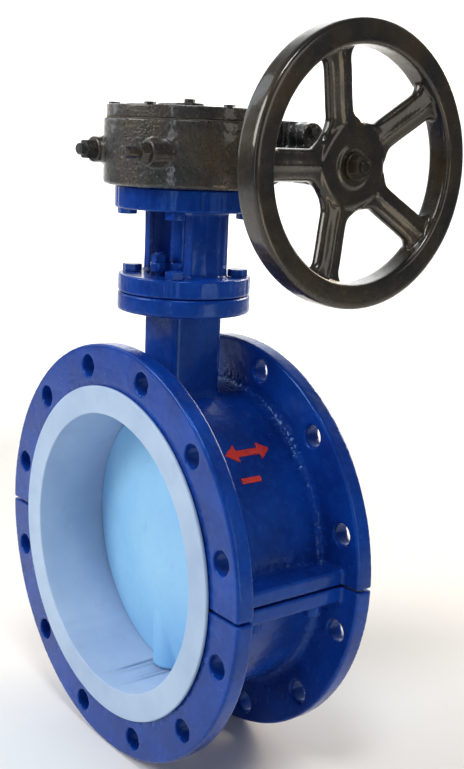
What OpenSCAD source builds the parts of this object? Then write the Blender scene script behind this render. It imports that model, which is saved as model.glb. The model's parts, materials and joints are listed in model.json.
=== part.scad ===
// Double-flanged, lined butterfly valve with a split body, a yoke and a worm gear operator.
// Origin: centre of the inlet flange face. +Y along the flow, +Z up the stem, +X to the handwheel.

/* [Flanges and body] */
// Flange outside diameter
flange_d = 445; // [440:1:460]
// Bolt circle diameter
bolt_circle_d = 400; // [396:1:404]
// Bolt holes per flange
bolt_count = 12; // [12:4:12]
// Bolt hole diameter
bolt_hole_d = 23; // [20:0.5:26]
// Flange thickness
flange_t = 20; // [16:1:24]
// Length between the two metal flange faces
body_len = 170; // [164:1:176]
// Outside diameter of the barrel between the flanges
barrel_d = 338; // [334:1:344]
// Gap left between the two body halves
split_gap = 2; // [1:0.5:3]

/* [Liner and disc] */
// Diameter of the lined waterway
bore_d = 298; // [296:1:299]
// Wall thickness of the liner
liner_wall = 8; // [7:0.5:9]
// Outside diameter of the liner's flared faces
liner_face_d = 357; // [350:1:365]
// Thickness of each flared face
liner_face_t = 4; // [3:0.5:5]
// Thickness of the disc at its centre
disc_t = 56; // [50:1:64]
// Thickness of the disc at its rim
disc_edge_t = 12; // [8:1:16]
// Thickness of the disc's moulded skin
skin_t = 2.5; // [2:0.5:3]
// Diameter of the disc's stem hub
disc_hub_d = 44; // [42:1:48]

/* [Stem] */
// Stem diameter
stem_d = 32; // [30:1:34]
// Width of the stem's square tang in the disc
tang_w = 20; // [18:1:21]
// Radial running clearance of every turning fit
run_gap = 0.05; // [0.02:0.01:0.08]

/* [Neck and yoke] */
// Width of the neck's square section
neck_w = 61; // [56:1:66]
// Height of the neck flange's underside
neck_flange_z = 255.5; // [250:0.5:260]
// Thickness of the neck flange
neck_flange_t = 19.5; // [16:0.5:22]
// Diameter of the neck flange and the yoke's foot
foot_d = 140; // [134:1:146]
// Thickness of the yoke's foot
foot_t = 19; // [16:1:22]
// Height of the yoke's windows
window_h = 67; // [60:1:72]
// Outside diameter of the yoke's tube
yoke_d = 100; // [96:1:104]
// Width of each yoke column along the flow
column_w = 48; // [44:1:52]
// Diameter of the yoke's top flange
top_flange_d = 150; // [148:1:154]
// Thickness of the yoke's top flange
top_flange_t = 23; // [20:1:26]

/* [Gear operator] */
// Outside diameter of the gear housing
drum_d = 174; // [172:1:178]
// Height of the gear housing's shell
drum_h = 66; // [64:1:68]
// Thickness of the cover
cover_t = 13; // [11:1:14]
// Axial module of the worm thread
gear_module = 3; // [3:1:3]
// Teeth that a full worm wheel would have
wheel_teeth = 38; // [38:1:38]
// Distance from the stem axis to the worm axis
worm_offset = 75; // [75:1:75]
// Height of the worm axis
worm_z = 413; // [413:1:413]
// Thickness of the worm sector
sector_t = 20; // [18:1:20]
// Distance of the stop screws from the stem axis
stop_x = 50; // [48:1:51]

/* [Handwheel] */
// Outside diameter of the handwheel
wheel_d = 272; // [264:1:280]
// Radial width of the rim
rim_w = 25; // [22:1:26]
// Depth of the rim along its axis
rim_depth = 29; // [26:1:31]
// Front plane of the rim
rim_front_x = 187; // [184:1:190]
// Number of spokes
spoke_count = 5; // [5:1:5]
// Width of each spoke
spoke_w = 30; // [26:1:32]

/* [Hidden] */

$fn = 96;
cut = 1;                                  // overshoot of every cutting solid
stem_y = body_len / 2;                    // the stem axis stands mid-way along the body
stem_r = stem_d / 2;
bore_r = bore_d / 2;
liner_r = bore_r + liner_wall;
barrel_r = barrel_d / 2;
flange_r = flange_d / 2;

// Body details
barrel_fillet = 8;
rim_chamfer = 1.5;
backing_t = 5;
backing_len = 64;
ledge_t = 17;                             // thickness of the split ledges
ledge_x = 200;                            // reach of the split ledges
split_screw_x = 186;
split_screw_pitch = 76;                   // spacing of the split screws along the flow
split_screw_r = 6;
split_thread_depth = 14;
neck_corner_r = 6;
bush_r = 19;
packing_r = 24;
packing_z = 250;                          // floor of the stuffing box
packing_h = 32;
packing_count = 4;
spigot_r = 38;                            // stuffing box spigot that centres the yoke
spigot_h = 15;
lower_boss_r = 30;
lower_boss_z = -196;
stub_end_z = -186;

// Heights up the stem
neck_top_z = neck_flange_z + neck_flange_t;
window_z = neck_top_z + foot_t;
yoke_top_z = window_z + window_h + top_flange_t;
drum_top_z = yoke_top_z + drum_h;
gasket_t = 0.8;
cover_screw_r = 3;
cover_screw_head_h = 2.2;
cover_z = drum_top_z + gasket_t;
cover_top_z = cover_z + cover_t;

// Gland
stud_y = 31;
stud_r = 5;
gland_z = packing_z + packing_h;
gland_plate_t = 10;
gland_plate_z = window_z + 3;
gland_nut_h = 8;

// Bolted joints
foot_bolt_circle_d = 112;
top_bolt_circle_d = 125;
m12_r = 6;
m12_hole_r = 6.75;
m12_af = 18;
m12_head_h = 7.5;
m12_nut_h = 10;

// Gear operator
drum_r = drum_d / 2;
drum_wall = 8;
chamber_r = drum_r - drum_wall;
floor_t = 8;
cover_r = 84.5;
worm_y = stem_y + worm_offset;
sector_pitch_r = gear_module * wheel_teeth / 2;
sector_r = sector_pitch_r + gear_module;
sector_root_r = sector_pitch_r - 1.15 * gear_module;
worm_pitch_r = worm_offset - sector_pitch_r;
worm_r = worm_pitch_r + gear_module;
worm_root_r = worm_pitch_r - 1.15 * gear_module;
worm_lead = PI * gear_module;
worm_half = 28;
lead_angle = atan(worm_lead / (2 * PI * worm_pitch_r));
worm_phase = 270 - 360 * worm_half / worm_lead;
gap_root_w = 1.9;                         // half width of a tooth gap at its root
flank_open = 19;                          // flank that meets the stop screw when shut
flank_shut = 9;                           // flank that meets the stop screw when open
sector_hub_r = 30;
drive_r = 14;                             // stem radius inside the sector
pilot_r = 8;                              // stem radius through the cover
hub_bottom_z = yoke_top_z + floor_t + 1;
hub_top_z = drum_top_z - 3;
barrel_out_r = 26;                        // worm barrel outside radius
barrel_in_r = 22;
drum_chamfer = 2.5;
barrel_roof_w = 48;                       // flat-topped roof over the worm barrel
barrel_step_x = 42;                       // the barrel narrows here to its nose
nose_out_r = 20.5;
nose_in_r = 16;
nose_roof_x0 = 30;
nose_roof_w = 38;
nose_roof_z = 454;
flange_seat = 12;
barrel_x0 = -66;
barrel_x1 = 98;
inner_bush_x = -58;
inner_bush_len = 16;
bearing_len = 15;
cap_t = 10;
cap_disc_r = 21;
cap_lobe_r = 14;
cap_lobe_at_r = 26;
cap_hole_at_r = 31;                       // clear of the barrel round the shaft
shaft_r = 10;
seal_r = 15;
seal_t = 7;
boss_r = 13.5;
boss_end = 84;
stop_z = 418;
stop_len = 92;
stop_tip_gap = 0.3;

// Handwheel
wheel_r = wheel_d / 2;
rim_back_x = rim_front_x - rim_depth;
rim_mid_r = wheel_r - rim_w / 2;
web_x = 159;
web_t = 9;
hub_x0 = 141;
hub_x1 = 170;
hub_r = 21;
hub_plate_r = 43;
hub_bore_r = 9;
spoke_start = 36;                         // angle of the first spoke from +Y

// ---------- shared shapes ----------

// Turns a solid drawn along Z so that it runs along the flow, +Y
module along_flow() rotate([-90, 0, 0]) children();

// Turns a solid drawn along Z so that it runs along the worm shaft, +X
module along_shaft() rotate([0, 90, 0]) children();

// Places a solid on the stem axis
module on_stem(z = 0) translate([0, stem_y, z]) children();

// Places a solid drawn along Z on the worm axis, starting at x
module on_worm(x = 0) translate([x, worm_y, worm_z]) along_shaft() children();

// Repeats a solid round the Z axis
module around(count, radius, start = 0)
    for (i = [0 : count - 1])
        rotate([0, 0, start + i * 360 / count]) translate([radius, 0, 0]) children();

module tube(r_out, r_in, h) difference() {
    cylinder(r = r_out, h = h);
    translate([0, 0, -cut]) cylinder(r = r_in, h = h + 2 * cut);
}

// A disc whose two edges are chamfered
module chamfered_disc(r, h, c) rotate_extrude()
    polygon([[0, 0], [r - c, 0], [r, c], [r, h - c], [r - c, h], [0, h]]);

module hex_prism(af, h) cylinder(d = af / cos(30), h = h, $fn = 6);

// Hexagon nut or head with its corners chamfered
module hex_head(af, h) intersection() {
    hex_prism(af, h);
    chamfered_disc(af * 0.575, h, af * 0.04);
}

// Hexagon bolt: the head sits on z = 0 and the shank runs down
module hex_bolt(r, length, af, head_h) {
    hex_head(af, head_h);
    translate([0, 0, -length]) cylinder(r = r, h = length);
}

// Socket screw: the head sits on z = 0 and the shank runs down
module socket_screw(r, length, head_r, head_h, socket_af) {
    difference() {
        chamfered_disc(head_r, head_h, 0.8);
        translate([0, 0, head_h / 2]) hex_prism(socket_af, head_h);
    }
    translate([0, 0, -length]) cylinder(r = r, h = length);
}

module rounded_square(w, r) {
    square([w, w - 2 * r], center = true);
    square([w - 2 * r, w], center = true);
    for (sx = [-1, 1], sy = [-1, 1]) translate([sx, sy] * (w / 2 - r)) circle(r = r);
}

// Points of a quarter-round fillet from angle a0 to a1 about (cx, cy)
function arc(cx, cy, r, a0, a1, n = 8) =
    [for (i = [0 : n]) let (a = a0 + (a1 - a0) * i / n) [cx + r * cos(a), cy + r * sin(a)]];

// ---------- body ----------

// Half section of the body casting: radius against length along the flow
module body_section() {
    f = barrel_fillet;
    b = barrel_r + f;
    c = rim_chamfer;
    groove_y0 = (body_len - backing_len) / 2;
    polygon(concat(
        [[liner_r, 0], [flange_r - c, 0], [flange_r, c], [flange_r, flange_t - c],
            [flange_r - c, flange_t]],
        arc(b, flange_t + f, f, 270, 180),
        arc(b, body_len - flange_t - f, f, 180, 90),
        [[flange_r - c, body_len - flange_t], [flange_r, body_len - flange_t + c],
            [flange_r, body_len - c], [flange_r - c, body_len], [liner_r, body_len],
            [liner_r, groove_y0 + backing_len], [liner_r + backing_t, groove_y0 + backing_len],
            [liner_r + backing_t, groove_y0], [liner_r, groove_y0]]));
}

// Both flanges and the barrel, above or below the split plane
module body_shell(upper) difference() {
    union() {
        along_flow() rotate_extrude($fn = 180) body_section();
        for (s = [-1, 1]) split_ledge(s);
    }
    translate([-flange_d, -cut, upper ? split_gap / 2 - flange_d : -split_gap / 2])
        cube([2 * flange_d, body_len + 2 * cut, flange_d]);
    for (y = [0, body_len]) translate([0, y, 0]) along_flow()
        around(bolt_count, bolt_circle_d / 2, 180 / bolt_count)
            translate([0, 0, -flange_t - cut]) cylinder(d = bolt_hole_d, h = 2 * (flange_t + cut));
}

// Ledge along the split that carries the split screws
module split_ledge(s) difference() {
    translate([s > 0 ? barrel_r - 6 : -ledge_x, flange_t - cut, -ledge_t])
        cube([ledge_x - barrel_r + 6, body_len - 2 * flange_t + 2 * cut, 2 * ledge_t]);
    along_flow() cylinder(r = liner_r + backing_t + 3, h = body_len, $fn = 180);
}

module at_split_screws() for (sx = [-1, 1], sy = [-1, 1])
    translate([sx * split_screw_x, stem_y + sy * split_screw_pitch / 2, 0]) children();

module body_upper() color("midnightblue") difference() {
    union() {
        body_shell(true);
        difference() {
            on_stem(barrel_r - 14) linear_extrude(neck_flange_z - barrel_r + 16)
                rounded_square(neck_w, neck_corner_r);
            along_flow() cylinder(r = liner_r + backing_t + 3, h = body_len, $fn = 180);
        }
        on_stem(neck_flange_z) chamfered_disc(foot_d / 2, neck_flange_t, rim_chamfer);
        on_stem(neck_top_z - cut) cylinder(r = spigot_r, h = spigot_h + cut);
    }
    on_stem(barrel_r - 20) cylinder(r = bush_r, h = packing_z - barrel_r + 20);
    on_stem(packing_z) cylinder(r = packing_r, h = 60);
    on_stem(neck_flange_z + 1.5) around(4, foot_bolt_circle_d / 2, 45)
        cylinder(r = m12_r, h = neck_flange_t);
    on_stem(neck_top_z - 8) for (s = [-1, 1])
        translate([0, s * stud_y, 0]) cylinder(r = stud_r, h = 40);
    at_split_screws() cylinder(r = split_screw_r, h = split_gap / 2 + split_thread_depth);
}

module body_lower() color("midnightblue") difference() {
    union() {
        body_shell(false);
        difference() {
            on_stem(lower_boss_z) cylinder(r = lower_boss_r, h = 30);
            along_flow() cylinder(r = liner_r + backing_t + 3, h = body_len, $fn = 180);
        }
    }
    on_stem(stub_end_z - 2) cylinder(r = bush_r, h = 34);
    at_split_screws() translate([0, 0, -ledge_t - cut]) cylinder(r = m12_hole_r, h = ledge_t);
}

module split_screws() color("dimgray") at_split_screws()
    translate([0, 0, -ledge_t]) mirror([0, 0, 1])
        socket_screw(split_screw_r, ledge_t + split_thread_depth, 9, 12, 10);

// ---------- liner, bushes and gland ----------

// The liner is cut by the stem's way at the top and the bottom
module stem_way(r) on_stem(-flange_r) cylinder(r = r, h = 2 * flange_r);

module seat_liner() color("aliceblue") difference() {
    along_flow() rotate_extrude($fn = 180) polygon([
        [bore_r, -liner_face_t], [liner_face_d / 2, -liner_face_t], [liner_face_d / 2, 0], [liner_r, 0],
        [liner_r, body_len], [liner_face_d / 2, body_len], [liner_face_d / 2, body_len + liner_face_t],
        [bore_r, body_len + liner_face_t]]);
    stem_way(stem_r + run_gap);
}

module liner_backing() color("darkred") difference() {
    translate([0, stem_y - backing_len / 2, 0]) along_flow()
        tube(liner_r + backing_t, liner_r, backing_len, $fn = 180);
    stem_way(stem_r + run_gap);
}

module bush(z, h) on_stem(z) tube(bush_r, stem_r + run_gap, h);

module stem_bush_inner() color("peru") bush(liner_r + backing_t + 2, 26);
module stem_bush_outer() color("peru") bush(packing_z - 26, 26);
module stub_bush() color("peru") bush(stub_end_z - 1, 20);

module packing_rings() color("ivory") on_stem(packing_z) for (i = [0 : packing_count - 1])
    translate([0, 0, i * packing_h / packing_count])
        tube(packing_r, stem_r + run_gap, packing_h / packing_count);

module gland_follower() color("midnightblue") on_stem() difference() {
    union() {
        translate([0, 0, gland_z]) cylinder(r = packing_r - 0.1, h = gland_plate_z - gland_z + cut);
        translate([0, 0, gland_plate_z]) {
            cylinder(r = 27, h = gland_plate_t);
            for (s = [-1, 1]) translate([0, s * stud_y, 0]) cylinder(r = 10, h = gland_plate_t);
            translate([-10, -stud_y, 0]) cube([20, 2 * stud_y, gland_plate_t]);
        }
    }
    translate([0, 0, gland_z - cut]) cylinder(r = stem_r + 0.08, h = 60);
    for (s = [-1, 1]) translate([0, s * stud_y, gland_z]) cylinder(r = stud_r + 0.5, h = 60);
}

module gland_studs() color("silver") for (s = [-1, 1])
    on_stem(neck_top_z - 8) translate([0, s * stud_y, 0]) cylinder(r = stud_r, h = 50);

module gland_nuts() color("silver") for (s = [-1, 1])
    on_stem(gland_plate_z + gland_plate_t) translate([0, s * stud_y, 0]) difference() {
        hex_head(16, gland_nut_h);
        translate([0, 0, -cut]) cylinder(r = stud_r, h = 20);
    }

// ---------- yoke ----------

module yoke() color("midnightblue") on_stem() difference() {
    union() {
        translate([0, 0, neck_top_z]) chamfered_disc(foot_d / 2, foot_t, rim_chamfer);
        translate([0, 0, yoke_top_z - top_flange_t])
            chamfered_disc(top_flange_d / 2, top_flange_t, rim_chamfer);
        translate([0, 0, window_z - cut]) intersection() {
            cylinder(d = yoke_d, h = window_h + 2 * cut);
            translate([-yoke_d, -column_w / 2, 0]) cube([2 * yoke_d, column_w, window_h + 2 * cut]);
        }
    }
    translate([0, 0, neck_top_z - cut]) cylinder(r = spigot_r, h = foot_t + window_h + cut);
    translate([0, 0, yoke_top_z - 40]) cylinder(r = stem_r + 8, h = 60);
    translate([0, 0, yoke_top_z - 3]) cylinder(d = 85, h = 20);
    translate([0, 0, neck_top_z - cut]) around(4, foot_bolt_circle_d / 2, 45)
        cylinder(r = m12_hole_r, h = foot_t + 2 * cut);
    translate([0, 0, yoke_top_z - top_flange_t - cut]) around(4, top_bolt_circle_d / 2, 45)
        cylinder(r = m12_hole_r, h = top_flange_t + 2 * cut);
}

module yoke_bolts() color("midnightblue") on_stem(window_z)
    around(4, foot_bolt_circle_d / 2, 45)
        hex_bolt(m12_r, foot_t + neck_flange_t - 2, m12_af, m12_head_h);

module gearbox_bolts() color("dimgray") on_stem(yoke_top_z - top_flange_t)
    around(4, top_bolt_circle_d / 2, 45) mirror([0, 0, 1])
        hex_bolt(m12_r, top_flange_t + 14, m12_af, m12_head_h);

// ---------- gear operator, fixed parts ----------

module at_stops() for (s = [-1, 1])
    translate([s * stop_x, stem_y, stop_z]) rotate([90, 0, 0]) children();

// Wide round the worm, narrow round the shaft, with a flat roof over both
module worm_barrel() {
    on_worm(barrel_x0) cylinder(r = barrel_out_r, h = barrel_step_x - barrel_x0);
    on_worm(barrel_step_x - cut) cylinder(r = nose_out_r, h = barrel_x1 - barrel_step_x - 5);
    translate([barrel_x0, worm_y - barrel_roof_w / 2, worm_z])
        cube([barrel_step_x - barrel_x0, barrel_roof_w, drum_top_z - worm_z]);
    translate([nose_roof_x0, worm_y - nose_roof_w / 2, worm_z])
        cube([barrel_x1 - flange_seat - 2 - nose_roof_x0, nose_roof_w, nose_roof_z - worm_z]);
    on_worm(barrel_x1 - flange_seat) cap_outline(flange_seat);
}

// Three-lobed flange round the worm shaft
module cap_outline(t) {
    cylinder(r = cap_disc_r, h = t);
    at_cap_lobes(cap_lobe_at_r) cylinder(r = cap_lobe_r, h = t);
}

module at_cap_lobes(r) for (a = [90, 180, 270])
    translate([r * cos(a), r * sin(a), 0]) children();

module at_cap_bolts() at_cap_lobes(cap_hole_at_r) children();

// The gear chamber, with solid corners left to carry the worm's inner bush
module gear_chamber() difference() {
    on_stem(yoke_top_z + floor_t) cylinder(r = chamber_r, h = drum_h);
    for (x = [-120, 42]) translate([x, stem_y + 47, 0]) cube([78, 60, 600]);
}

module gear_housing() color("dimgray") difference() {
    union() {
        on_stem(yoke_top_z) rotate_extrude() polygon([[0, 0], [drum_r - drum_chamfer, 0],
            [drum_r, drum_chamfer], [drum_r, drum_h], [0, drum_h]]);
        on_stem(yoke_top_z - 3) cylinder(d = 85, h = 4);
        worm_barrel();
        at_stops() translate([0, 0, 55]) cylinder(r = boss_r, h = boss_end - 55);
    }
    difference() {
        gear_chamber();
        on_stem(yoke_top_z) around(4, top_bolt_circle_d / 2, 45) cylinder(r = 9.5, h = 17.5);
        on_stem(drum_top_z - 14) at_cover_screws() cylinder(r = 6.5, h = 20);
        at_stops() translate([0, 0, 58]) cylinder(r = boss_r - 2, h = 40);
    }
    on_worm(inner_bush_x + inner_bush_len)
        cylinder(r = barrel_in_r, h = barrel_step_x - inner_bush_x - inner_bush_len);
    on_worm(0) cylinder(r = nose_in_r, h = barrel_x1 + cut);
    on_stem(drum_top_z) cylinder(r = cover_r + 1, h = 20);
    on_worm(inner_bush_x) cylinder(r = 14, h = inner_bush_len + 20);
    on_worm(barrel_x1 - 11) at_cap_bolts() cylinder(r = 3, h = 20);
    on_stem(yoke_top_z - 10) cylinder(r = 24, h = 40);
    on_stem(yoke_top_z - 10) around(4, top_bolt_circle_d / 2, 45) cylinder(r = m12_r, h = 24);
    on_stem(drum_top_z - 12) at_cover_screws() cylinder(r = cover_screw_r, h = 20);
    at_stops() translate([0, 0, 40]) cylinder(r = m12_r, h = 60);
}

module sector_bush() color("peru") on_stem(yoke_top_z - 1) tube(24, stem_r + run_gap, floor_t + 1);

module at_cover_screws() around(6, chamber_r - 2.5, -5) children();

module cover_plan(t) difference() {
    cylinder(r = cover_r, h = t);
    at_cover_screws() translate([0, 0, -cut]) cylinder(r = cover_screw_r + 0.4, h = t + 2 * cut);
}

module cover_gasket() color("tan") on_stem(drum_top_z) difference() {
    cover_plan(gasket_t);
    translate([0, 0, -cut]) cylinder(r = chamber_r - 12, h = 3);
}

module gear_cover() color("dimgray") on_stem(cover_z) difference() {
    union() {
        cover_plan(cover_t);
        translate([0, 0, cover_t - cut]) cylinder(r = 26, h = cut + 1);
    }
    translate([0, 0, -cut]) cylinder(r = pilot_r + run_gap, h = 30);
}

module cover_screws() color("dimgray") on_stem(cover_top_z)
    at_cover_screws() hex_bolt(cover_screw_r, cover_t + gasket_t + 10, 10, cover_screw_head_h);

// Raised quarter scale under the pointer's tip, from shut to open
module scale_plate() color("silver") on_stem(cover_top_z)
    rotate([0, 0, 172]) rotate_extrude(angle = 106) translate([46, 0]) square([18, 1.2]);

module worm_bush_inner() color("peru") on_worm(inner_bush_x)
    tube(14, shaft_r + run_gap, inner_bush_len);

module worm_bearing_outer() color("silver") on_worm(barrel_x1 - bearing_len)
    tube(nose_in_r, shaft_r + run_gap, bearing_len);

module bearing_cap() color("dimgray") on_worm(barrel_x1) difference() {
    cap_outline(cap_t);
    translate([0, 0, -cut]) cylinder(r = shaft_r + 2, h = cap_t + 2 * cut);
    translate([0, 0, cap_t - seal_t]) cylinder(r = seal_r, h = seal_t + cut);
    translate([0, 0, -cut]) at_cap_bolts() cylinder(r = 3.4, h = cap_t + 2 * cut);
}

module bearing_cap_bolts() color("silver") on_worm(barrel_x1 + cap_t)
    at_cap_bolts() hex_bolt(3, cap_t + 10, 10, 4);

module shaft_seal() color("black") on_worm(barrel_x1 + cap_t - seal_t)
    tube(seal_r, shaft_r + run_gap, seal_t);

// Each screw's inner end stops the sector's flank at one end of the quarter turn
module stop_screws() color("silver") for (s = [-1, 1]) {
    inner = (s > 0 ? flank_open : flank_shut) + stop_tip_gap;
    translate([s * stop_x, stem_y - inner, stop_z]) rotate([90, 0, 0])
        chamfered_disc(m12_r, stop_len, 1.5);
}

module stop_nuts() color("dimgray") at_stops() translate([0, 0, boss_end]) difference() {
    hex_head(m12_af, m12_nut_h);
    translate([0, 0, -cut]) cylinder(r = m12_r, h = 20);
}

// ---------- disc and stem ----------

// Lens with a stem hub, kept inside the sphere that the rim sweeps
module disc_form(inset) {
    rim = bore_r - run_gap - inset;
    dome_r = (bore_r * bore_r + pow(disc_t / 2 - disc_edge_t / 2, 2)) / (disc_t - disc_edge_t);
    intersection() {
        translate([0, stem_y, 0]) sphere(r = rim, $fn = 180);
        union() {
            intersection() {
                translate([0, stem_y + disc_t / 2 - dome_r, 0]) sphere(r = dome_r - inset, $fn = 240);
                translate([0, stem_y - disc_t / 2 + dome_r, 0]) sphere(r = dome_r - inset, $fn = 240);
            }
            on_stem(-rim) cylinder(r = disc_hub_d / 2 - inset, h = 2 * rim);
        }
    }
}

module tang_sockets() for (s = [0, 1]) on_stem() mirror([0, 0, s])
    translate([-tang_w / 2, -tang_w / 2, 100]) cube([tang_w, tang_w, 60]);

module disc_core() color("gray") difference() {
    disc_form(skin_t);
    tang_sockets();
}

module disc_skin() color("aliceblue") difference() {
    disc_form(0);
    disc_form(skin_t);
    tang_sockets();
}

module tang(h) translate([-tang_w / 2, -tang_w / 2, 0]) cube([tang_w, tang_w, h]);

module stem() color("midnightblue") on_stem() difference() {
    union() {
        translate([0, 0, 100]) tang(60);
        translate([0, 0, bore_r + 0.5])
            cylinder(r = stem_r, h = yoke_top_z + floor_t - bore_r - 0.5);
        translate([0, 0, yoke_top_z + floor_t])
            cylinder(r = drive_r, h = hub_top_z - yoke_top_z - floor_t);
        translate([0, 0, hub_top_z]) cylinder(r = pilot_r, h = cover_top_z + 1 - hub_top_z);
    }
    translate([0, 0, cover_top_z - 14]) cylinder(r = 3, h = 20);
    translate([-4, drive_r - 4, hub_bottom_z]) cube([8, 5, 60]);
}

module lower_stub() color("gray") on_stem() mirror([0, 0, 1]) {
    translate([0, 0, 100]) tang(60);
    translate([0, 0, bore_r + 0.5]) chamfered_disc(stem_r, -stub_end_z - bore_r - 0.5, 1);
}

// ---------- worm sector and worm ----------

// One tooth gap, leaning by the lead angle, wider at the tip than at the root
module tooth_gap() rotate([-lead_angle, 0, 0]) translate([0, 0, -sector_t])
    linear_extrude(2 * sector_t) polygon([[sector_root_r, -gap_root_w], [sector_r + 4, -2 * gap_root_w],
        [sector_r + 4, 2 * gap_root_w], [sector_root_r, gap_root_w]]);

module worm_sector() color("goldenrod") on_stem() difference() {
    union() {
        translate([0, 0, worm_z - sector_t / 2]) intersection() {
            cylinder(r = sector_r, h = sector_t);
            translate([-flank_shut, -flank_open, -cut]) cube([100, 100, sector_t + 2 * cut]);
        }
        translate([0, 0, hub_bottom_z]) cylinder(r = sector_hub_r, h = hub_top_z - hub_bottom_z);
    }
    translate([0, 0, worm_z]) for (i = [-3 : 11])
        rotate([0, 0, 90 - i * 360 / wheel_teeth]) tooth_gap();
    translate([0, 0, hub_bottom_z - cut]) cylinder(r = drive_r, h = 80);
    translate([-4, 0, hub_bottom_z - cut]) cube([8, drive_r + 3.3, 80]);
}

module stem_key() color("silver") on_stem(hub_bottom_z) translate([-4, drive_r - 4, 0])
    cube([8, 7.2, hub_top_z - hub_bottom_z - 1]);

// Radius of the worm's cross-section at an angle from its thread's crest
function thread_r(a) = let (d = abs(a > 180 ? a - 360 : a))
    d < 46 ? worm_r : d < 84 ? worm_r - (worm_r - worm_root_r) * (d - 46) / 38 : worm_root_r;

// The crest starts where the sector has a gap: on the line of centres at mid-length
module worm() color("goldenrod") difference() {
    on_worm(-worm_half)
        linear_extrude(2 * worm_half, twist = -360 * 2 * worm_half / worm_lead, slices = 132, $fn = 24)
            rotate(worm_phase) polygon([for (a = [0 : 15 : 345]) thread_r(a) * [cos(a), sin(a)]]);
    on_worm(-40) cylinder(r = shaft_r, h = 80);
    translate([22, worm_y - 30, worm_z]) rotate([-90, 0, 0]) cylinder(r = 2.5, h = 60);
}

module worm_pin() color("silver") translate([22, worm_y, worm_z]) rotate([-90, 0, 0])
    translate([0, 0, -worm_root_r + 0.5]) cylinder(r = 2.5, h = 2 * worm_root_r - 1);

module worm_shaft() color("silver") difference() {
    union() {
        on_worm(inner_bush_x + 0.5) chamfered_disc(shaft_r, hub_x0 - inner_bush_x - 0.5, 1);
        on_worm(hub_x0 - cut) cylinder(r = hub_bore_r, h = hub_x1 - hub_x0 + cut);
        on_worm(hub_x1) chamfered_disc(m12_r, 15, 1);
    }
    translate([22, worm_y - 30, worm_z]) rotate([-90, 0, 0]) cylinder(r = 2.5, h = 60);
    on_worm(hub_x0 + 4) translate([-10, -3, 0]) cube([4, 6, 40]);
}

// ---------- handwheel ----------

// Rounded opening between two spokes, drawn in the wheel's own plane
module spoke_opening() {
    corner = 9;
    span = 180 / spoke_count;
    reach = rim_mid_r - rim_w / 2 + 1 - corner;
    inner = hub_plate_r + corner + 6;
    outer_a = span - asin((spoke_w / 2 + corner) / reach);
    inner_a = span - asin((spoke_w / 2 + corner) / inner);
    hull() {
        for (a = [-1, -0.5, 0, 0.5, 1] * outer_a)
            rotate(a) translate([reach, 0]) circle(r = corner, $fn = 32);
        for (s = [-1, 1])
            rotate(s * inner_a) translate([inner, 0]) circle(r = corner, $fn = 32);
    }
}

module handwheel() color("black") difference() {
    union() {
        on_worm(rim_back_x) rotate_extrude($fn = 120) translate([rim_mid_r, 0]) rim_section();
        on_worm(web_x) difference() {
            cylinder(r = rim_mid_r, h = web_t, $fn = 120);
            for (i = [0 : spoke_count - 1])
                rotate([0, 0, 90 + spoke_start + 36 + i * 360 / spoke_count]) translate([0, 0, -cut])
                    linear_extrude(web_t + 2 * cut) spoke_opening();
        }
        on_worm(hub_x0) cylinder(r = hub_r + 2, h = web_x - hub_x0);
        on_worm(web_x) cylinder(r = hub_r, h = hub_x1 - web_x);
        on_worm(web_x + web_t - cut) spoke_ribs();
    }
    on_worm(hub_x0 - cut) cylinder(r = hub_bore_r, h = 60);
    on_worm(hub_x0 - cut) translate([-hub_bore_r - 3, -3, 0]) cube([6, 6, 60]);
}

// Rounded rim section about its own centre line
module rim_section() {
    r = 9;
    translate([-rim_w / 2 + r, 0]) square([rim_w - 2 * r, rim_depth]);
    translate([-rim_w / 2, r]) square([rim_w, rim_depth - 2 * r]);
    for (sx = [-1, 1], y = [r, rim_depth - r]) translate([sx * (rim_w / 2 - r), y]) circle(r = r);
}

// Raised rib along the middle of each spoke
module spoke_ribs() around(spoke_count, 0, 90 + spoke_start) translate([hub_r - 2, -4, 0])
    cube([rim_mid_r - rim_w / 2 - hub_r + 6, 8, 5 + cut]);

module wheel_key() color("silver") on_worm(hub_x0 + 4)
    translate([-hub_bore_r - 2.8, -3, 0]) cube([5.8, 6, 24]);

module wheel_washer() color("silver") on_worm(hub_x1) tube(13, m12_r + 0.5, 2.5);

module wheel_nut() color("silver") on_worm(hub_x1 + 2.5) difference() {
    hex_head(m12_af, m12_nut_h);
    translate([0, 0, -cut]) cylinder(r = m12_r, h = 20);
}

// ---------- position pointer ----------

module pointer() color("red") on_stem(cover_top_z + 1.4) difference() {
    union() {
        cylinder(r = 15, h = 2.5);
        linear_extrude(2.5) polygon([[0, -7], [-48, -5], [-60, 0], [-48, 5], [0, 7]]);
    }
    translate([0, 0, -cut]) cylinder(r = 3.2, h = 6);
}

module pointer_screw() color("silver") on_stem(cover_top_z + 3.9) hex_bolt(3, 16, 10, 4);

body_upper();
body_lower();
split_screws();
seat_liner();
liner_backing();
stem_bush_inner();
stem_bush_outer();
stub_bush();
packing_rings();
gland_follower();
gland_studs();
gland_nuts();
yoke();
yoke_bolts();
gearbox_bolts();
gear_housing();
sector_bush();
cover_gasket();
gear_cover();
cover_screws();
scale_plate();
worm_bush_inner();
worm_bearing_outer();
bearing_cap();
bearing_cap_bolts();
shaft_seal();
stop_screws();
stop_nuts();
disc_core();
disc_skin();
stem();
lower_stub();
worm_sector();
stem_key();
pointer();
pointer_screw();
worm();
worm_pin();
worm_shaft();
handwheel();
wheel_key();
wheel_washer();
wheel_nut();
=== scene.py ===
"""Lined butterfly valve with a worm gear operator.

The castings, paint, lining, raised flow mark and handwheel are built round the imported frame.
"""

import json
import math

import bmesh
import bpy
from mathutils import Matrix, Vector, noise


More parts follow.
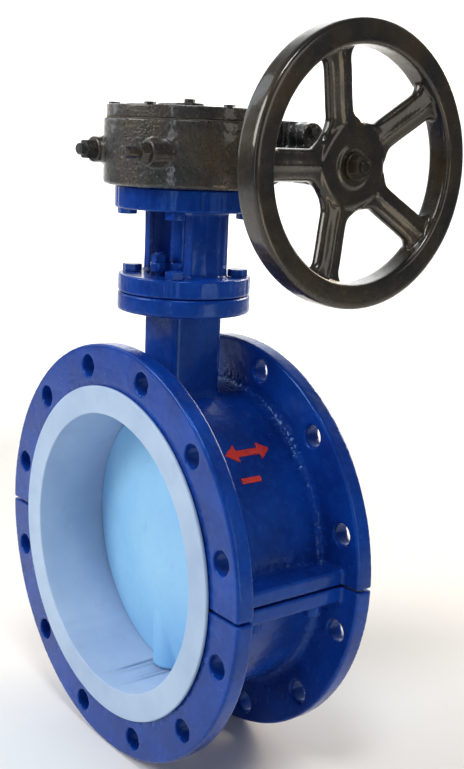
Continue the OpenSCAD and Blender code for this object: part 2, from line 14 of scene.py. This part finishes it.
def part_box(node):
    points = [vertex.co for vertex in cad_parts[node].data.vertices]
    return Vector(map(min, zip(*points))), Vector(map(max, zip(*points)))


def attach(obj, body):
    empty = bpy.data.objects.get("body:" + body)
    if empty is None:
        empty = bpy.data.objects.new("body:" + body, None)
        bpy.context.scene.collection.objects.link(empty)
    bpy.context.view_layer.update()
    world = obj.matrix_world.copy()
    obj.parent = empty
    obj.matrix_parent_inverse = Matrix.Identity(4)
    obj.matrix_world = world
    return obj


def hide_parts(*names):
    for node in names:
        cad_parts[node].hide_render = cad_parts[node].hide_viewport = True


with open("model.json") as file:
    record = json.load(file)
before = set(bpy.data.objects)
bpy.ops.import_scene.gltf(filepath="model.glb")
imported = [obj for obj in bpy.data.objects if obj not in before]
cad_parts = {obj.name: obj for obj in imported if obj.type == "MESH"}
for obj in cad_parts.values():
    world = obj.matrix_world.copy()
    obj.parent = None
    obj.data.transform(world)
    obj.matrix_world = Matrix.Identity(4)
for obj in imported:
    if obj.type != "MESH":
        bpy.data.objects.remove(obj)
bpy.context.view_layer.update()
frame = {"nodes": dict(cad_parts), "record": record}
nodes = frame["nodes"]
MM = 0.001


def middle(node):
    low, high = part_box(node)
    return (low + high) / 2


STEM = middle("stem")
SHAFT = middle("wheel_washer")
FLOOR_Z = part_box("body_lower")[0].z
WHEEL_LOW, WHEEL_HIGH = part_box("handwheel")
WHEEL_R = WHEEL_HIGH.z - SHAFT.z
HUB_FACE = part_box("wheel_washer")[0].x


# ---------- materials ----------


class Surface:
    """A procedural material under construction: a Principled shader and the nodes that feed it."""

    def __init__(self, name):
        self.material = bpy.data.materials.new(name)
        self.material.use_nodes = True
        self.tree = self.material.node_tree
        self.shader = self.tree.nodes["Principled BSDF"]
        self.place = self.tree.nodes.new("ShaderNodeTexCoord").outputs["Object"]

    def node(self, kind, **values):
        made = self.tree.nodes.new(kind)
        for key, value in values.items():
            setattr(made, key, value)
        return made

    def link(self, source, target):
        self.tree.links.new(source, target)

    def stretched(self, scale):
        mapping = self.node("ShaderNodeMapping")
        mapping.inputs["Scale"].default_value = scale
        self.link(self.place, mapping.inputs["Vector"])
        return mapping.outputs["Vector"]

    def noise(self, scale, detail=3.0, rough=0.55, stretch=None):
        made = self.node("ShaderNodeTexNoise")
        made.inputs["Scale"].default_value = scale
        made.inputs["Detail"].default_value = detail
        made.inputs["Roughness"].default_value = rough
        self.link(self.stretched(stretch) if stretch else self.place, made.inputs["Vector"])
        return made.outputs["Fac"]

    def voronoi(self, scale, feature="F1"):
        made = self.node("ShaderNodeTexVoronoi", feature=feature)
        made.inputs["Scale"].default_value = scale
        self.link(self.place, made.inputs["Vector"])
        return made.outputs["Distance"]

    def edges(self, low, high):
        """0 in hollows and 1 on outer edges of a dense mesh."""
        return self.ranged(self.node("ShaderNodeNewGeometry").outputs["Pointiness"], low, high, 0.0, 1.0)

    def ranged(self, value, low, high, to_low, to_high):
        made = self.node("ShaderNodeMapRange")
        for key, number in (("From Min", low), ("From Max", high), ("To Min", to_low), ("To Max", to_high)):
            made.inputs[key].default_value = number
        self.link(value, made.inputs["Value"])
        return made.outputs["Result"]

    def blend(self, factor, first, second):
        """Mixes two colours, each a tuple or a socket, by a factor socket."""
        made = self.node("ShaderNodeMix", data_type="RGBA")
        self.link(factor, made.inputs["Factor"])
        for socket, colour in ((made.inputs[6], first), (made.inputs[7], second)):
            if isinstance(colour, tuple):
                socket.default_value = (*colour, 1.0)
            else:
                self.link(colour, socket)
        return made.outputs[2]

    def bumps(self, *layers):
        """Stacks bump layers, each (height socket, height in millimetres)."""
        normal = None
        for height, millimetres in layers:
            made = self.node("ShaderNodeBump")
            made.inputs["Distance"].default_value = millimetres * MM
            self.link(height, made.inputs["Height"])
            if normal:
                self.link(normal, made.inputs["Normal"])
            normal = made.outputs["Normal"]
        self.link(normal, self.shader.inputs["Normal"])
        return normal

    def set(self, **values):
        """Sets shader inputs: a number or tuple directly, a socket by a link."""
        for key, value in values.items():
            socket = self.shader.inputs[key.replace("_", " ")]
            if isinstance(value, bpy.types.NodeSocket):
                self.link(value, socket)
            elif isinstance(value, tuple):
                socket.default_value = (*value, 1.0) if len(value) == 3 and socket.type == "RGBA" else value
            else:
                socket.default_value = value


def blue_enamel():
    """Thick glossy blue paint over a casting, lighter where thinner on edges, with painted shade darkening the
    hollows.
    """
    s = Surface("blue_enamel")
    cloud = s.ranged(s.noise(16, 4), 0.35, 0.65, 0.0, 1.0)
    tone = s.blend(cloud, (0.003, 0.024, 0.190), (0.004, 0.046, 0.320))
    mottled = s.blend(s.ranged(s.noise(150, 5, 0.7), 0.50, 0.72, 0.0, 0.45), tone, (0.010, 0.078, 0.40))
    # painted shade: the base colour darkens to near-black blue in hollows and recesses
    painted_hollow_shade = s.blend(s.edges(0.40, 0.49), (0.003, 0.009, 0.065), mottled)
    worn = s.blend(s.edges(0.535, 0.62), painted_hollow_shade, (0.020, 0.100, 0.43))
    s.set(Base_Color=worn, Roughness=s.ranged(s.noise(60, 4), 0.3, 0.7, 0.18, 0.30))
    s.set(Coat_Weight=0.08, Coat_Roughness=0.05, Specular_IOR_Level=0.5, Specular_Tint=(0.22, 0.50, 1.0))
    s.bumps((s.noise(95, 2), 0.35), (s.noise(420, 2), 0.10))
    return s.material


def cast_black():
    """Dark paint over a coarse casting, with painted shade darkening the hollows."""
    s = Surface("cast_black")
    cloud = s.ranged(s.noise(24, 4), 0.38, 0.62, 0.0, 1.0)
    tone = s.blend(cloud, (0.012, 0.013, 0.013), (0.045, 0.032, 0.020))
    grain = s.blend(s.ranged(s.noise(330, 4, 0.7), 0.52, 0.70, 0.0, 0.6), tone, (0.055, 0.057, 0.056))
    # painted shade: the base colour darkens to near black in hollows and recesses
    painted_hollow_shade = s.blend(s.edges(0.36, 0.50), (0.006, 0.006, 0.006), grain)
    s.set(Base_Color=painted_hollow_shade, Roughness=s.ranged(s.noise(140, 4), 0.3, 0.7, 0.20, 0.40), Metallic=0.25)
    s.set(Coat_Weight=0.7, Coat_Roughness=0.12)
    s.bumps((s.noise(190, 4, 0.62), 1.3), (s.voronoi(420), 0.5), (s.noise(900, 2), 0.18))
    return s.material


def wheel_black():
    """Smooth black-brown stove enamel."""
    s = Surface("wheel_black")
    cloud = s.ranged(s.noise(20, 3), 0.35, 0.65, 0.0, 1.0)
    tone = s.blend(cloud, (0.011, 0.010, 0.008), (0.036, 0.025, 0.013))
    edge = s.blend(s.edges(0.52, 0.60), tone, (0.040, 0.034, 0.028))
    s.set(Base_Color=edge, Roughness=s.ranged(s.noise(70, 3), 0.3, 0.7, 0.18, 0.32))
    s.set(Coat_Weight=0.55, Coat_Roughness=0.05, Specular_IOR_Level=0.35)
    s.bumps((s.noise(60, 2), 0.35), (s.noise(480, 2), 0.035))
    return s.material


def fluoropolymer(name, light, shade, rough, milky):
    """Bluish-white moulded lining with faint flow marks and handling smudges."""
    s = Surface(name)
    tone = s.blend(s.ranged(s.noise(11, 4), 0.35, 0.68, 0.0, 1.0), light, shade)
    dirt = s.ranged(s.noise(46, 6, 0.72), 0.60, 0.74, 0.0, 0.35)
    smudge = s.blend(dirt, tone, tuple(0.72 * c for c in shade))
    s.set(Base_Color=smudge, Roughness=s.ranged(s.noise(90, 4), 0.3, 0.7, rough - 0.07, rough + 0.10))
    s.set(Subsurface_Weight=milky, Subsurface_Radius=(1.0, 1.0, 1.0), Subsurface_Scale=0.006)
    s.bumps((s.noise(34, 3), 0.5), (s.noise(260, 3), 0.06))
    return s.material


def red_mark():
    """Hand-brushed red on the raised mark, thin enough in places to show the blue."""
    s = Surface("red_mark")
    brush = s.ranged(s.noise(210, 5, 0.7), 0.56, 0.68, 0.0, 1.0)
    s.set(Base_Color=s.blend(brush, (0.62, 0.030, 0.018), (0.20, 0.022, 0.060)))
    s.set(Roughness=s.ranged(s.noise(120), 0.3, 0.7, 0.3, 0.5))
    s.set(Coat_Weight=0.3)
    s.bumps((s.noise(300, 3), 0.4))
    return s.material


def metal(name, light, dark, rough, grain_scale=520, stretch=None):
    """Bare or plated metal, with tool grain and dulled patches."""
    s = Surface(name)
    patch = s.ranged(s.noise(70, 5, 0.65), 0.35, 0.68, 0.0, 1.0)
    s.set(Base_Color=s.blend(patch, light, dark), Metallic=0.92)
    s.set(Roughness=s.ranged(s.noise(160, 4), 0.3, 0.7, rough - 0.08, rough + 0.12))
    s.bumps((s.noise(grain_scale, 3, 0.6, stretch), 0.05))
    return s.material


def dull(name, light, dark, rough, scale):
    """Rubber, packing or gasket sheet."""
    s = Surface(name)
    s.set(Base_Color=s.blend(s.ranged(s.noise(scale, 5), 0.35, 0.65, 0.0, 1.0), light, dark))
    s.set(Roughness=s.ranged(s.noise(scale * 2), 0.3, 0.7, rough - 0.08, rough + 0.08))
    s.bumps((s.noise(scale * 6, 3), 0.15))
    return s.material


BLUE = blue_enamel()
CAST = cast_black()
WHEEL = wheel_black()
LINER = fluoropolymer("liner_white", (0.43, 0.56, 0.74), (0.34, 0.46, 0.66), 0.42, 0.10)
SKIN = fluoropolymer("disc_white", (0.32, 0.64, 0.94), (0.26, 0.56, 0.90), 0.36, 0.12)
RED = red_mark()
ZINC = metal("zinc_plate", (0.62, 0.63, 0.64), (0.42, 0.43, 0.45), 0.34)
STEEL = metal("disc_steel", (0.46, 0.46, 0.47), (0.30, 0.30, 0.31), 0.45, 300)
BLACKED = metal("black_oxide", (0.050, 0.048, 0.045), (0.022, 0.021, 0.020), 0.36, 400)
BRONZE = metal("bronze", (0.62, 0.40, 0.18), (0.44, 0.27, 0.12), 0.36)
SCALE = metal("scale_metal", (0.74, 0.75, 0.77), (0.60, 0.61, 0.62), 0.30, 700, (1, 12, 1))
RUBBER = dull("backing_rubber", (0.022, 0.022, 0.022), (0.040, 0.038, 0.036), 0.75, 90)
PACKING = dull("packing", (0.72, 0.70, 0.62), (0.55, 0.53, 0.46), 0.8, 160)
GASKET = dull("gasket", (0.22, 0.19, 0.14), (0.06, 0.055, 0.05), 0.8, 60)

BY_SLOT = {
    "blue_paint": BLUE,
    "cast_paint": CAST,
    "wheel_enamel": WHEEL,
    "ptfe_liner": LINER,
    "pfa_skin": SKIN,
    "backing_rubber": RUBBER,
    "bronze": BRONZE,
    "packing": PACKING,
    "gasket": GASKET,
    "zinc_steel": ZINC,
    "disc_steel": STEEL,
    "scale_metal": SCALE,
}


# ---------- meshes ----------


def linked(name, mesh):
    made = bpy.data.objects.new(name, mesh)
    bpy.context.scene.collection.objects.link(made)
    return made


def baked(obj):
    """Applies every modifier of obj."""
    shown = obj.evaluated_get(bpy.context.evaluated_depsgraph_get())
    mesh = bpy.data.meshes.new_from_object(shown)
    obj.modifiers.clear()
    old, obj.data = obj.data, mesh
    bpy.data.meshes.remove(old)
    return obj


def softened(obj, voxel, rounds, near=None, near_rounds=0):
    """Turns overlapping closed shells into one skin with rounded edges.

    near(point), from 0 to 1, says where to round more.
    """
    grid = obj.modifiers.new("grid", "REMESH")
    grid.mode = "VOXEL"
    grid.voxel_size = voxel
    smooth = obj.modifiers.new("smooth", "SMOOTH")
    smooth.factor = 0.5
    smooth.iterations = rounds
    baked(obj)
    if near:
        group = obj.vertex_groups.new(name="near")
        for v in obj.data.vertices:
            weight = near(v.co)
            if weight > 0.02:
                group.add([v.index], weight, "REPLACE")
        more = obj.modifiers.new("more", "SMOOTH")
        more.factor = 0.5
        more.iterations = near_rounds
        more.vertex_group = "near"
        baked(obj)
        obj.vertex_groups.clear()
    return obj


def lumped(obj, *layers, runs=0.0, near=None, beads=(5, 1.5)):
    """Pushes the skin inwards by noise.

    Each layer, and beads, is (lump size, depth) in millimetres. runs is the depth of vertical
    paint runs, and near(point), from 0 to 1, says where the paint has gathered in beads.
    """
    mesh = obj.data
    moved = []
    for v in mesh.vertices:
        depth = 0.0
        for size, amount in layers:
            depth += amount * (0.5 - 0.5 * noise.noise(v.co / (size * MM)))
        if runs:
            side = 1 - abs(v.normal.z)
            at = Vector((v.co.x * 160, v.co.y * 160, v.co.z * 14))
            depth += runs * side * (0.5 - 0.5 * noise.noise(at))
        weight = near(v.co) if near else 0.0
        if weight > 0.02:
            depth += weight * beads[1] * abs(noise.noise(v.co / (beads[0] * MM)))
        moved.append(v.co - v.normal * (max(depth, 0.0) * MM))
    for v, co in zip(mesh.vertices, moved):
        v.co = co
    mesh.update()
    return obj


def dressed(obj, material, body, slot, *stood_for):
    """Gives a piece its finish and its body, and hides the CAD nodes that it stands for."""
    obj.data.materials.clear()
    obj.data.materials.append(material)
    for polygon in obj.data.polygons:
        polygon.use_smooth = True
    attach(obj, body)
    if stood_for:
        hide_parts(*stood_for)


def from_cad(name, node):
    """A closed copy of a CAD node's mesh."""
    bm = bmesh.new()
    bm.from_mesh(nodes[node].data)
    bmesh.ops.remove_doubles(bm, verts=bm.verts, dist=1e-6)
    mesh = bpy.data.meshes.new(name)
    bm.to_mesh(mesh)
    bm.free()
    return linked(name, mesh)


def loft(bm, loops):
    """Joins closed loops of points in order and caps both ends."""
    rings = [[bm.verts.new(p) for p in loop] for loop in loops]
    for a, b in zip(rings, rings[1:]):
        for i in range(len(a)):
            j = (i + 1) % len(a)
            bm.faces.new((a[i], a[j], b[j], b[i]))
    bm.faces.new(list(reversed(rings[0])))
    bm.faces.new(rings[-1])


def turned(bm, profile, steps=180):
    """Revolves a closed profile of (radius, x) in millimetres round the worm shaft."""
    rings = []
    for i in range(steps):
        a = math.tau * i / steps
        c, d = math.cos(a) * MM, math.sin(a) * MM
        rings.append([bm.verts.new((x * MM, SHAFT.y + r * c, SHAFT.z + r * d)) for r, x in profile])
    for k in range(steps):
        a, b = rings[k], rings[(k + 1) % steps]
        for i in range(len(a)):
            j = (i + 1) % len(a)
            bm.faces.new((a[i], a[j], b[j], b[i]))


def step(x):
    x = min(max(x, 0.0), 1.0)
    return x * x * (3 - 2 * x)


# ---------- castings ----------


def neck_root(p):
    """1 where the neck meets the barrel."""
    far = max(abs(p.x) - 0.032, abs(p.y - STEM.y) - 0.032, 0.0)
    return step((0.014 - far) / 0.010) * step((0.190 - p.z) / 0.008) * step((p.z - 0.150) / 0.008)


def fillet(p):
    """1 where the barrel runs into a flange, and 1 along the roots of the split ledges."""
    radial = math.hypot(p.x, p.z)
    end = min(p.y - 0.020, 0.150 - p.y)
    ring = step((0.186 - radial) / 0.006) * step((radial - 0.164) / 0.003) * step((0.013 - end) / 0.005)
    height = abs(p.z)
    ledge = step((0.196 - abs(p.x)) / 0.006) * step((0.030 - height) / 0.006) * step((height - 0.012) / 0.003)
    return max(ring, 0.7 * ledge)


body_upper = softened(from_cad("body_upper_cast", "body_upper"), 1.7 * MM, 4, neck_root, 40)
lumped(body_upper, (26, 0.35), (7, 0.18), near=fillet)
dressed(body_upper, BLUE, "valve_body", "blue_paint", "body_upper")

body_lower = softened(from_cad("body_lower_cast", "body_lower"), 1.7 * MM, 4)
lumped(body_lower, (26, 0.35), (7, 0.18), near=fillet)
dressed(body_lower, BLUE, "valve_body", "blue_paint", "body_lower")

yoke = softened(from_cad("yoke_cast", "yoke"), 1.3 * MM, 5)
lumped(yoke, (16, 0.3), (5, 0.15), runs=1.5)
dressed(yoke, BLUE, "valve_body", "blue_paint", "yoke")

housing = softened(from_cad("gear_housing_cast", "gear_housing"), 1.3 * MM, 4)
lumped(housing, (14, 0.35), (3.5, 0.35))
dressed(housing, CAST, "valve_body", "cast_paint", "gear_housing")

cover = softened(from_cad("gear_cover_cast", "gear_cover"), 1.2 * MM, 4)
lumped(cover, (20, 0.25), (5, 0.2))
dressed(cover, CAST, "valve_body", "cast_paint", "gear_cover")

cap = softened(from_cad("bearing_cap_cast", "bearing_cap"), 0.9 * MM, 5)
lumped(cap, (9, 0.25), (4, 0.15))
dressed(cap, CAST, "valve_body", "cast_paint", "bearing_cap")

disc = softened(from_cad("disc_moulding", "disc_skin"), 1.8 * MM, 3)
lumped(disc, (40, 0.25))
dressed(disc, SKIN, "disc_and_stem", "pfa_skin", "disc_skin")


# ---------- handwheel ----------


def rim_profile(r_mid, x_mid, half_r, half_x, power, count=40):
    points = []
    for i in range(count):
        a = math.tau * i / count
        c, s = math.cos(a), math.sin(a)
        r = r_mid + half_r * math.copysign(abs(c) ** (2 / power), c)
        x = x_mid + half_x * math.copysign(abs(s) ** (2 / power), s)
        points.append((r, x))
    return points


def spoke(bm, angle, r0, r1, hub_x, rim_x):
    """A dished spoke with a raised middle rib, flaring into the hub and the rim."""
    loops = []
    across = Vector((0, -math.sin(angle), math.cos(angle)))
    out = Vector((0, math.cos(angle), math.sin(angle)))
    centre = Vector((0, SHAFT.y, SHAFT.z))
    for i in range(33):
        r = r0 + (r1 - r0) * i / 32
        half = 15.6 + 13 * step((r - 96) / 20) ** 2 + 9 * step((56 - r) / 20) ** 2
        front = hub_x + (rim_x - hub_x) * step((r - 38) / 76)
        loop = []
        for k in range(25):
            t = half * (2 * k / 24 - 1)
            edge = max(5 - (half - abs(t)), 0.0)
            rib = 2.6 * (1 - abs(t) / half) + 1.2 * (1 - step(abs(t) / 5))
            rib *= step((118 - r) / 8) * step((r - 36) / 8)
            x = front + rib - (5 - math.sqrt(25 - edge * edge))
            loop.append(centre + out * (r * MM) + across * (t * MM) + Vector((x * MM, 0, 0)))
        for k in range(13):
            t = half * (1 - 2 * k / 12)
            edge = max(4 - (half - abs(t)), 0.0)
            x = front - 13 + (4 - math.sqrt(16 - edge * edge))
            loop.append(centre + out * (r * MM) + across * (t * 0.97 * MM) + Vector((x * MM, 0, 0)))
        loops.append(loop)
    loft(bm, loops)


def make_handwheel():
    bm = bmesh.new()
    rim_front = WHEEL_HIGH.x / MM
    hub_face = HUB_FACE / MM
    turned(bm, rim_profile(WHEEL_R / MM - 12.5, rim_front - 14.5, 12.5, 14.5, 6.0))
    for i in range(5):
        spoke(bm, math.radians(36 + 72 * i), 26, 116, hub_face - 4, hub_face + 7)
    # Pentagonal plate with its flats between the spokes, sloping up to a round raised face
    flats = []
    for radius, x in ((52, -15.5), (56, -13), (56, -8), (52, -4.5), (47, -2.2), (44, -1.4)):
        loop = []
        for k in range(60):
            a = math.tau * k / 60
            from_flat = (math.degrees(a) + 36) % 72 - 36
            inradius = radius * math.cos(math.radians(36)) / math.cos(math.radians(from_flat))
            blend = 0.2 if radius > 50 else 0.35
            r = (inradius * (1 - blend) + radius * 0.83 * blend) * MM
            loop.append(Vector(((hub_face + x) * MM, SHAFT.y + r * math.cos(a), SHAFT.z + r * math.sin(a))))
        flats.append(loop)
    loft(bm, flats)
    back = WHEEL_LOW.x / MM
    turned(bm, [(9, back), (21, back), (23, back + 2), (23, hub_face - 8), (9, hub_face - 8)], 96)
    boss = [(9, -6), (21, -6), (21, -1), (20, 0), (16.5, 0), (15.5, -0.8), (9, -0.8)]
    turned(bm, [(r, hub_face + x) for r, x in boss], 96)
    bmesh.ops.recalc_face_normals(bm, faces=bm.faces)
    mesh = bpy.data.meshes.new("handwheel_cast")
    bm.to_mesh(mesh)
    bm.free()
    return linked("handwheel_cast", mesh)


wheel = softened(make_handwheel(), 1.15 * MM, 7)
lumped(wheel, (30, 0.25), (9, 0.10))
dressed(wheel, WHEEL, "handwheel_drive", "wheel_enamel", "handwheel")


# ---------- flow mark ----------


def on_barrel(y, across, radius, angle):
    """A point on the barrel, y along the flow and across round it in millimetres, about an angle in degrees."""
    a = math.radians(angle) + across / radius
    return Vector((radius * math.cos(a), y, radius * math.sin(a))) * MM


# Each side of a cell: the step to its neighbour, and the corners that the wall stands on
WALLS = {
    (-1, 0): ((0, 0), (0, 1)),
    (1, 0): ((1, 1), (1, 0)),
    (0, -1): ((1, 0), (0, 0)),
    (0, 1): ((0, 1), (1, 1)),
}


def raised(name, outline, angle, low=167.0, high=170.4, cell=1.2):
    """A raised cast figure on the barrel, cut into small cells so that it follows the curve."""
    bm = bmesh.new()
    ys = [p[0] for p in outline]
    cs = [p[1] for p in outline]

    def inside(y, c):
        hit = False
        for (y0, c0), (y1, c1) in zip(outline, outline[1:] + outline[:1]):
            if (c0 > c) != (c1 > c) and y < (y1 - y0) * (c - c0) / (c1 - c0) + y0:
                hit = not hit
        return hit

    ny, nc = round((max(ys) - min(ys)) / cell), round((max(cs) - min(cs)) / cell)
    cells = {
        (i, j)
        for i in range(ny)
        for j in range(nc)
        if inside(min(ys) + (i + 0.5) * cell, min(cs) + (j + 0.5) * cell)
    }
    made = {}

    def vert(i, j, top):
        if (i, j, top) not in made:
            radius = high if top else low
            place = on_barrel(min(ys) + i * cell, min(cs) + j * cell, radius, angle)
            made[i, j, top] = bm.verts.new(place)
        return made[i, j, top]

    for i, j in cells:
        bm.faces.new([vert(i, j, True), vert(i, j + 1, True), vert(i + 1, j + 1, True), vert(i + 1, j, True)])
        under = ((0, 0), (1, 0), (1, 1), (0, 1))
        bm.faces.new([vert(i + a, j + b, False) for a, b in under])
        for (di, dj), (a, b) in WALLS.items():
            if (i + di, j + dj) not in cells:
                p, q = (i + a[0], j + a[1]), (i + b[0], j + b[1])
                bm.faces.new([vert(*p, True), vert(*p, False), vert(*q, False), vert(*q, True)])
    bmesh.ops.recalc_face_normals(bm, faces=bm.faces)
    mesh = bpy.data.meshes.new(name)
    bm.to_mesh(mesh)
    bm.free()
    return softened(linked(name, mesh), 0.7 * MM, 5)


half_arrow = [(62, 0), (76, -10), (76, -3.5), (104, -3.5), (104, -10), (118, 0)]
other_half = [(104, 10), (104, 3.5), (76, 3.5), (76, 10)]
arrow = raised("flow_arrow", half_arrow + other_half, 48.2)
dressed(arrow, RED, "valve_body", None)
bar = raised("flow_bar", [(68, -3.2), (92, -3.2), (92, 3.2), (68, 3.2)], 38.0)
dressed(bar, RED, "valve_body", None)


# ---------- CAD nodes ----------

PAINTED = {"gland_studs": BLUE, "gland_nuts": BLUE, "gearbox_bolts": BLUE, "worm_shaft": BLACKED}
BEVELS = {
    "seat_liner": 1.6,
    "stem": 0.6,
    "yoke_bolts": 0.9,
    "gearbox_bolts": 0.9,
    "gland_follower": 1.5,
    "gland_nuts": 0.6,
    "gland_studs": 0.4,
    "split_screws": 0.6,
    "cover_screws": 0.5,
    "bearing_cap_bolts": 0.4,
    "stop_screws": 0.5,
    "stop_nuts": 0.7,
    "wheel_nut": 0.6,
    "wheel_washer": 0.4,
    "pointer": 0.5,
    "pointer_screw": 0.4,
    "scale_plate": 0.3,
}


def finish_cad_nodes():
    for row in frame["record"]["subparts"]:
        node = nodes[row["node"]]
        node.data.materials.clear()
        node.data.materials.append(PAINTED.get(row["node"], BY_SLOT[row["material_slot"]]))
        width = BEVELS.get(row["node"])
        if width:
            weld = node.modifiers.new("weld", "WELD")
            weld.merge_threshold = 0.00001
            bevel = node.modifiers.new("bevel", "BEVEL")
            bevel.width = width * MM
            bevel.segments = 3
            bevel.limit_method = "ANGLE"
            bevel.angle_limit = math.radians(35)
            bevel.use_clamp_overlap = True
            bevel.harden_normals = True


finish_cad_nodes()


# ---------- floor, light and camera ----------


def plain(name, colour, rough):
    s = Surface(name)
    s.set(Base_Color=s.blend(s.noise(2.5, 2), colour, tuple(0.97 * c for c in colour)), Roughness=rough)
    return s.material


def make_stage():
    """A pale floor that curves up into a backdrop behind the valve."""
    bm = bmesh.new()
    half, reach, radius = 6.0, 2.6, 1.2
    back = Vector((-math.sin(math.radians(52.17)), math.cos(math.radians(52.17)), 0))
    side = Vector((back.y, -back.x, 0))
    z = FLOOR_Z - 0.0004
    line = [(-6.0, z), (reach, z)]
    for k in range(1, 11):
        a = math.radians(9 * k)
        line.append((reach + radius * math.sin(a), z + radius * (1 - math.cos(a))))
    line.append((reach + radius, 5.0))
    rows = []
    for d, h in line:
        rows.append([bm.verts.new(back * d + side * (half * s) + Vector((0, 0, h))) for s in (-1, 1)])
    for a, b in zip(rows, rows[1:]):
        bm.faces.new((a[0], a[1], b[1], b[0]))
    mesh = bpy.data.meshes.new("floor")
    bm.to_mesh(mesh)
    bm.free()
    floor = linked("floor", mesh)
    for polygon in mesh.polygons:
        polygon.use_smooth = True
    mesh.materials.append(plain("floor_pale", (0.90, 0.90, 0.89), 0.9))


def area(name, place, target, size, power, colour, size_y=None):
    light = bpy.data.lights.new(name, "AREA")
    light.shape = "RECTANGLE"
    light.size, light.size_y = size, size_y or size
    light.energy, light.color = power, colour
    lamp = linked(name, light)
    lamp.location = place
    lamp.rotation_euler = (Vector(target) - Vector(place)).to_track_quat("-Z", "Y").to_euler()


def make_lights():
    world = bpy.data.worlds.new("studio")
    bpy.context.scene.world = world
    world.use_nodes = True
    world.node_tree.nodes["Background"].inputs["Color"].default_value = (0.72, 0.84, 1.0, 1.0)
    world.node_tree.nodes["Background"].inputs["Strength"].default_value = 0.15
    target = (0.05, 0.08, 0.12)
    area("key", (-0.8, -1.8, 1.4), target, 1.2, 38, (1.0, 0.97, 0.92))
    area("top", (0.7, -0.5, 2.0), target, 0.5, 15, (0.94, 0.97, 1.0))
    area("warm", (-0.2, 2.3, 1.1), target, 1.4, 42, (1.0, 0.84, 0.66), 0.8)
    area("side", (2.2, 0.9, 0.9), target, 0.7, 5, (1.0, 0.93, 0.84), 1.2)
    area("low", (1.5, 0.3, -0.1), (0.15, 0.16, 0.40), 0.6, 3, (1.0, 0.80, 0.56))
    area("strip", (1.05, -1.55, 0.7), (0.0, 0.08, 0.36), 0.16, 3.5, (0.86, 0.93, 1.0), 1.5)
    area("rim", (-1.6, -0.6, 1.1), (0, 0.1, 0.2), 0.5, 4, (0.85, 0.93, 1.0), 1.4)
    area("behind", (-1.4, 1.1, 2.2), (-3.2, 2.6, 1.6), 1.6, 110, (1.0, 1.0, 1.0))


def make_camera():
    """The photograph's own viewpoint."""
    azimuth, elevation, roll = (math.radians(a) for a in (52.17, 12.28, 2.40))
    flat = math.cos(elevation)
    back = Vector((math.sin(azimuth) * flat, -math.cos(azimuth) * flat, math.sin(elevation)))
    level = Vector((math.cos(azimuth), math.sin(azimuth), 0))
    above = back.cross(level)
    right = math.cos(roll) * level + math.sin(roll) * above
    up = math.cos(roll) * above - math.sin(roll) * level
    camera = bpy.data.cameras.new("camera")
    camera.sensor_width = 36
    camera.lens = 53.18
    holder = linked("camera", camera)
    turn = Matrix((right, up, back)).transposed().to_4x4()
    holder.matrix_world = Matrix.Translation((0.9746, -0.6023, 0.4358)) @ turn
    bpy.context.scene.camera = holder


make_stage()
make_lights()
make_camera()
bpy.context.scene.view_settings.view_transform = "Standard"
